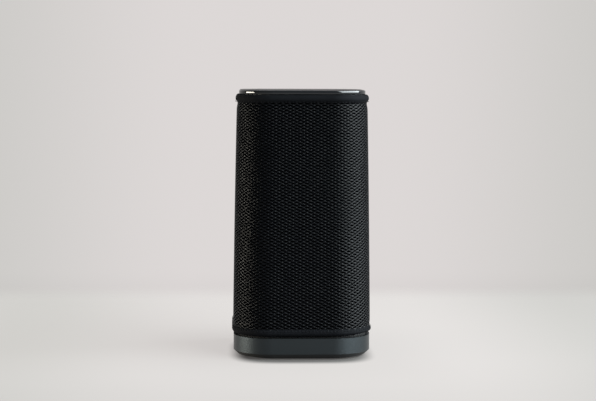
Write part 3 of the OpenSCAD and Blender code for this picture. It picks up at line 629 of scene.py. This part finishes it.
def make_binding(name, node, low, high, proud, edge_shift):
    """A rolled edge: a soft-cornered tube that follows the outline.

    edge_shift gives how far a point moves up, from its place and its height in the tube, -1 to 1.
    """
    columns, rows = 220, 36
    tall, thick = (high - low) / 2, (BINDING_DEPTH + proud) / 2
    out_middle, z_middle = proud - thick, (low + high) / 2
    round_tube = 4 * (tall + thick)
    bm = sheet_grid(columns, rows, ROUND_LOW, round_tube)
    keep_flat_map(bm)
    for v in bm.verts:
        share = v.co.x / ROUND_LOW
        a = 2 * math.pi * v.co.y / round_tube
        c, s = math.cos(a), math.sin(a)
        out = out_middle + thick * math.copysign(abs(c) ** BINDING_POWER, c)
        z = z_middle + tall * math.copysign(abs(s) ** BINDING_POWER, s)
        out -= BINDING_LEAN * max(0, -s)
        place = on_sleeve(share, z, out)
        slack = sum(noise.noise(place * pitch) * height for pitch, height in SLACK)
        z += slack * 0.6 + edge_shift(place, s)
        v.co = on_sleeve(share, z, out + slack + pinch(z) * 1.7)
    bmesh.ops.remove_doubles(bm, verts=bm.verts, dist=0.01 * MM)
    bmesh.ops.recalc_face_normals(bm, faces=bm.faces)
    piece = finish_piece(name, bm, finish["binding_fabric"])
    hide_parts(node)
    return piece


def make_stitches(name, places):
    """Short rounded stitches. Each place is a point, the way the stitch runs, and the way it faces."""
    bm = bmesh.new()
    for point, along, facing in places:
        side = facing.cross(along).normalized()
        turn = Matrix((along.normalized(), side, facing.normalized())).transposed().to_4x4()
        ball = bmesh.ops.create_uvsphere(bm, u_segments=6, v_segments=4, radius=1)["verts"]
        bmesh.ops.scale(bm, vec=STITCH_SIZE, verts=ball)
        bmesh.ops.transform(bm, matrix=Matrix.Translation(point) @ turn, verts=ball)
    piece = finish_piece(name, bm, thread("sewing thread", (0.0042, 0.0045, 0.0055)).material)
    return piece


def stitch_row(z, proud, count):
    """Stitches in a level row all round the sleeve."""
    places = []
    for i in range(count):
        here, after = (on_sleeve((i + k) / count, z, proud) for k in (0, 0.3))
        along = after - here
        places.append((here, along, along.cross(Vector((0, 0, 1)))))
    return places


def make_seam():
    """The knit tape that covers the sleeve's closing seam, up the middle of the back."""
    bm = sheet_grid(12, 90, SEAM_W, Z_HIGH - Z_LOW + 4 * MM)
    for v in bm.verts:
        v.co.x -= SEAM_W / 2
    keep_flat_map(bm)
    for v in bm.verts:
        across, z = v.co.x, Z_LOW - 2 * MM + v.co.y
        crown = SEAM_CROWN * (1 - abs(2 * across / SEAM_W) ** 3)
        dent = SEAM_DENT * math.exp(-(((abs(across) - SEAM_STITCH_X) / (0.5 * MM)) ** 2))
        v.co = on_sleeve(-across / ROUND_LOW, z, pinch(z) - SEAM_SINK + crown - dent)
    bmesh.ops.solidify(bm, geom=bm.faces[:], thickness=0.4 * MM)
    bmesh.ops.recalc_face_normals(bm, faces=bm.faces)
    tape = finish_piece("seam_tape", bm, finish["binding_fabric"])
    places = []
    for i in range(int((Z_HIGH - Z_LOW - 4 * MM) / SEAM_STITCH_GAP)):
        z = Z_LOW + 3 * MM + i * SEAM_STITCH_GAP
        for side in (-1, 1):
            place = on_sleeve(side * SEAM_STITCH_X / ROUND_LOW, z, pinch(z) + 0.02 * MM)
            places.append((place, Vector((0, 0, 1)), Vector((0, 1, 0))))
    return [tape, make_stitches("seam_stitches", places)]


def pulled_up(place, s):
    """The bottom edge rides up a little at the front right corner."""
    across, ahead = (place.x - 46 * MM) / (20 * MM), (place.y + 30 * MM) / (30 * MM)
    return 0.9 * MM * math.exp(-(across**2) - ahead**2) * max(0, -s)


def pulled_flat(place, s):
    """The top binding's lower edge runs a little higher along the middle of each side."""
    middle = max(abs(place.x), abs(place.y)) - min(abs(place.x), abs(place.y))
    return 0.8 * MM * min(1, middle / (30 * MM)) * max(0, -s)


net = make_net()
on_net = [
    make_pile(),
    make_binding("top_binding_roll", "sleeve_top_binding", top_low.z, top_high.z, 1.0 * MM, pulled_flat),
    make_binding(
        "bottom_binding_roll", "sleeve_bottom_binding", bottom_low.z, bottom_high.z, 0.75 * MM, pulled_up
    ),
    make_stitches("top_stitches", stitch_row(Z_HIGH + 1.7 * MM, 0.72 * MM, 132)),
    make_stitches("bottom_stitches", stitch_row(Z_LOW - 1.5 * MM, 0.62 * MM, 140)),
    *make_seam(),
]
inner_face = make_inner_face()


# ---------- Outer shells ----------


def merged(node):
    """A copy of a node's loose triangles, joined up and with its flat faces made whole."""
    bm = bmesh.new()
    bm.from_mesh(nodes[node].data)
    bmesh.ops.remove_doubles(bm, verts=bm.verts, dist=0.002 * MM)
    bmesh.ops.dissolve_limit(
        bm, angle_limit=math.radians(0.5), verts=bm.verts, edges=bm.edges, use_dissolve_boundaries=False
    )
    return bm


def bevelled(node, width, segments=3, body=BODY):
    """A copy of a solid with its sharp edges softened, which stands for it."""
    piece = finish_piece(node + "_skin", merged(node), finish[slot_of[node]], body)
    bevel = piece.modifiers.new("softened", "BEVEL")
    bevel.width, bevel.segments, bevel.limit_method = width, segments, "ANGLE"
    bevel.angle_limit = math.radians(35)
    even = piece.modifiers.new("even", "WEIGHTED_NORMAL")
    even.weight, even.keep_sharp = 100, True
    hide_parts(node)
    return piece


SAME_HEIGHT = 0.001 * MM


def upright_edges(bm):
    return [e for e in bm.edges if abs(e.verts[0].co.z - e.verts[1].co.z) > SAME_HEIGHT]


def edges_at(bm, z):
    return [e for e in bm.edges if all(abs(v.co.z - z) < SAME_HEIGHT for v in e.verts)]


def faces_at(bm, z, face_way):
    """The level faces at a height that look up, for 1, or down, for -1."""
    level = [f for f in bm.faces if f.normal.z * face_way > 0.99]
    return [f for f in level if abs(f.calc_center_median().z - z) < SAME_HEIGHT]


def soften(bm, edges, offset, segments):
    settings = {"profile": 0.5, "affect": "EDGES", "material": -1, "clamp_overlap": False}
    bmesh.ops.bevel(bm, geom=edges, offset=offset, segments=segments, **settings)


def rounded_slab(half, radius, low, high):
    bm = bmesh.new()
    bmesh.ops.create_cube(bm, size=2)
    bmesh.ops.scale(bm, vec=(half, half, (high - low) / 2), verts=bm.verts)
    bmesh.ops.translate(bm, vec=(0, 0, (low + high) / 2), verts=bm.verts)
    soften(bm, upright_edges(bm), radius, 24)
    return bm


def make_plate():
    """The touch plate: a soft glossy rim, a flat top with a duller finish, and four real microphone holes."""
    low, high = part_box("top_plate")
    bm = rounded_slab(high.x, CORNER_R * high.x / HALF_LOW, low.z, high.z)
    soften(bm, edges_at(bm, high.z), PLATE_RIM, 6)
    soften(bm, edges_at(bm, low.z), 0.4 * MM, 2)
    for z, face_way in ((high.z, 1), (low.z, -1)):
        flat = faces_at(bm, z, face_way)
        bmesh.ops.inset_region(bm, faces=flat, thickness=0.6 * MM, depth=0)
        rim = [e for e in bm.edges if e.is_valid and len(set(e.link_faces) & set(flat)) == 1]
        bmesh.ops.delete(bm, geom=flat, context="FACES_ONLY")
        for centre in MIC_PLACES:
            ring = bmesh.ops.create_circle(bm, segments=20, radius=MIC_R)["verts"]
            bmesh.ops.translate(bm, vec=(*centre, z), verts=ring)
            rim += {e for v in ring for e in v.link_edges}
        bmesh.ops.triangle_fill(bm, edges=rim, use_beauty=True, normal=(0, 0, face_way))
    for centre in MIC_PLACES:
        wall = [e for e in bm.edges if all((v.co.xy - centre).length < 1.1 * MIC_R for v in e.verts)]
        for e in wall:
            e.smooth = False
        bmesh.ops.bridge_loops(bm, edges=wall)
    bmesh.ops.recalc_face_normals(bm, faces=bm.faces)
    for face in bm.faces:
        face.material_index = int(face.normal.z > 0.99)
    plate = finish_piece("touch_plate", bm, finish["plate_gloss"])
    plate.data.materials.append(plate_finish("etched touch face", 0.05, 0.28).material)
    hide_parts("top_plate")


GLUED_RIM = 0.87
CREASE = 0.6


def stretched(node, dish=0.0):
    """A smooth-shaded copy of a surround or spider, which stays still on the frame as a whole.

    dish is the slope of a flat one's web, which starts inside its glued rim.
    """
    low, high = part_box(node)
    rim, middle = high.x * GLUED_RIM, (low.z + high.z) / 2
    bm = merged(node)
    for v in bm.verts:
        v.co.y -= dish * max(0, rim - math.hypot(v.co.x, v.co.z - middle))
    for edge in bm.edges:
        edge.smooth = len(edge.link_faces) == 2 and edge.calc_face_angle() < CREASE
    piece = finish_piece(node + "_roll", bm, finish[slot_of[node]], None)
    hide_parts(node)
    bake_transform(piece)


make_plate()
bevelled("base_shell", 0.45 * MM)
bevelled("foot_pad", 0.4 * MM)
bevelled("port_panel", 0.25 * MM, 2)
bevelled("charge_inlet", 0.08 * MM, 2)
bevelled("power_button", 0.3 * MM, 2, "power_button")
bevelled("mute_slider", 0.25 * MM, 2, "mute_slider")
stretched("woofer_surround")
stretched("radiator_surround")
stretched("woofer_spider", dish=0.28)


# ---------- Stage and light ----------

BLACK = (0, 0, 0, 1)
TABLE_SIZE, TABLE_FAR = (4, 2.4), 0.4
TABLE_FADE = (0.26, 0.37)
WALL_SIZE, WALL_PLACE = (8, 5), (0, 1.6, 1.2)
ROOM_RADIUS = 9


def table_finish():
    """A pale floor whose glow stands in for most of its light: brighter in the middle, dimmer to the right
    and towards the camera as painted shade, part of the shade by the base painted in, and its far edge soft.
    """
    f = Finish("table", (0.055, 0.053, 0.0515), 0.7, specular_ior_level=0)
    x, y = f.axis("x"), f.axis("y")
    f.set("Alpha", 1 - y.step(*TABLE_FADE))
    # Painted light: the glow is brighter in the middle than to the sides.
    aside = (x - 0.01).size().step(0.09, 0.25)
    level = f.mix(aside, (0.63, 0.602, 0.588, 1), (0.545, 0.533, 0.51, 1))
    forward = (y + 0.008) * (y + 0.008)
    near = ((x * x * 1.2) ** 2 + forward**2) ** 0.25
    # Painted shadow: dark close round the base, with a faint halo of painted shade further out.
    painted_contact_shadow = (1 - near.step(0.0455, 0.0605)) * 0.85
    painted_shade_halo = (1 - near.step(0.04, 0.15)) * 0.06
    # Painted shade: the glow dims to the right and towards the camera.
    right = x.step(0.08, 0.3) * 0.13
    front = (1 - y.step(-0.3, -0.03)) * 0.13
    f.glow(f.mix(painted_contact_shadow + painted_shade_halo + right + front, level, BLACK))
    return f


def wall_finish():
    """An evenly glowing wall, a little dimmer to the sides, low down and high up."""
    f = Finish("wall", (0, 0, 0), 1, specular_ior_level=0)
    aside = (f.axis("x") - 0.05).size().step(0.15, 0.62)
    level = f.mix(aside, (0.72, 0.685, 0.677, 1), (0.6, 0.59, 0.57, 1))
    z = f.axis("z")
    dim = (1 - z.step(-0.19, -0.13)) * 0.05 + z.step(0.3, 0.55) * 0.05
    f.glow(f.mix(dim, level, BLACK))
    return f


def room_finish():
    f = Finish("room", (0, 0, 0), 1, specular_ior_level=0)
    f.glow(f.mix(f.axis("z").step(0.3, 4), (0.58, 0.57, 0.55, 1), (0.54, 0.53, 0.51, 1)))
    return f


def stage_plane(name, size, place, turn, material):
    bm = sheet_grid(1, 1, *size)
    bmesh.ops.translate(bm, vec=(-size[0] / 2, -size[1] / 2, 0), verts=bm.verts)
    bmesh.ops.transform(bm, matrix=Matrix.Translation(place) @ Matrix.Rotation(turn, 4, "X"), verts=bm.verts)
    plane = make_object(name, bm, material)


def make_stage():
    """A table, a wall a way behind it, and a pale room round both that only the camera sees."""
    stage_plane("table", TABLE_SIZE, (0, TABLE_FAR - TABLE_SIZE[1] / 2, 0), 0, table_finish().material)
    stage_plane("wall", WALL_SIZE, WALL_PLACE, math.pi / 2, wall_finish().material)
    bm = bmesh.new()
    bmesh.ops.create_uvsphere(bm, u_segments=48, v_segments=24, radius=ROOM_RADIUS)
    dome = make_object("room", bm, room_finish().material)
    dome.visible_diffuse = dome.visible_glossy = dome.visible_shadow = False


LIT_POINT = Vector((0, 0, 0.1))


def make_light(name, bearing, reach, height, size, radiance, colour=(1, 1, 1)):
    """A soft panel aimed at the speaker. The bearing is in degrees from the front, positive to the right."""
    data = bpy.data.lights.new(name, "AREA")
    data.shape, data.size, data.size_y = "RECTANGLE", *size
    data.energy, data.color = radiance * size[0] * size[1] * math.pi, colour
    light = bpy.data.objects.new(name, data)
    scene.collection.objects.link(light)
    a = math.radians(bearing)
    place = Vector((math.sin(a) * reach, -math.cos(a) * reach, height))
    light.location = place
    light.rotation_euler = (LIT_POINT - place).to_track_quat("-Z", "Y").to_euler()


def make_lights():
    world = bpy.data.worlds.new("room")
    world.use_nodes = True
    sky = world.node_tree.nodes["Background"].inputs
    sky["Color"].default_value, sky["Strength"].default_value = (0.85, 0.93, 1, 1), 0.06
    scene.world = world
    make_light("overhead", 0, 0.05, 1.8, (2.6, 2.6), 0.35)
    make_light("left_window", -86, 1.3, 0.13, (0.8, 0.22), 38, (1, 0.95, 0.82))
    make_light("right_window", 69, 1.4, 0.8, (2.3, 1.4), 20, (0.9, 0.98, 1))


make_stage()
make_lights()
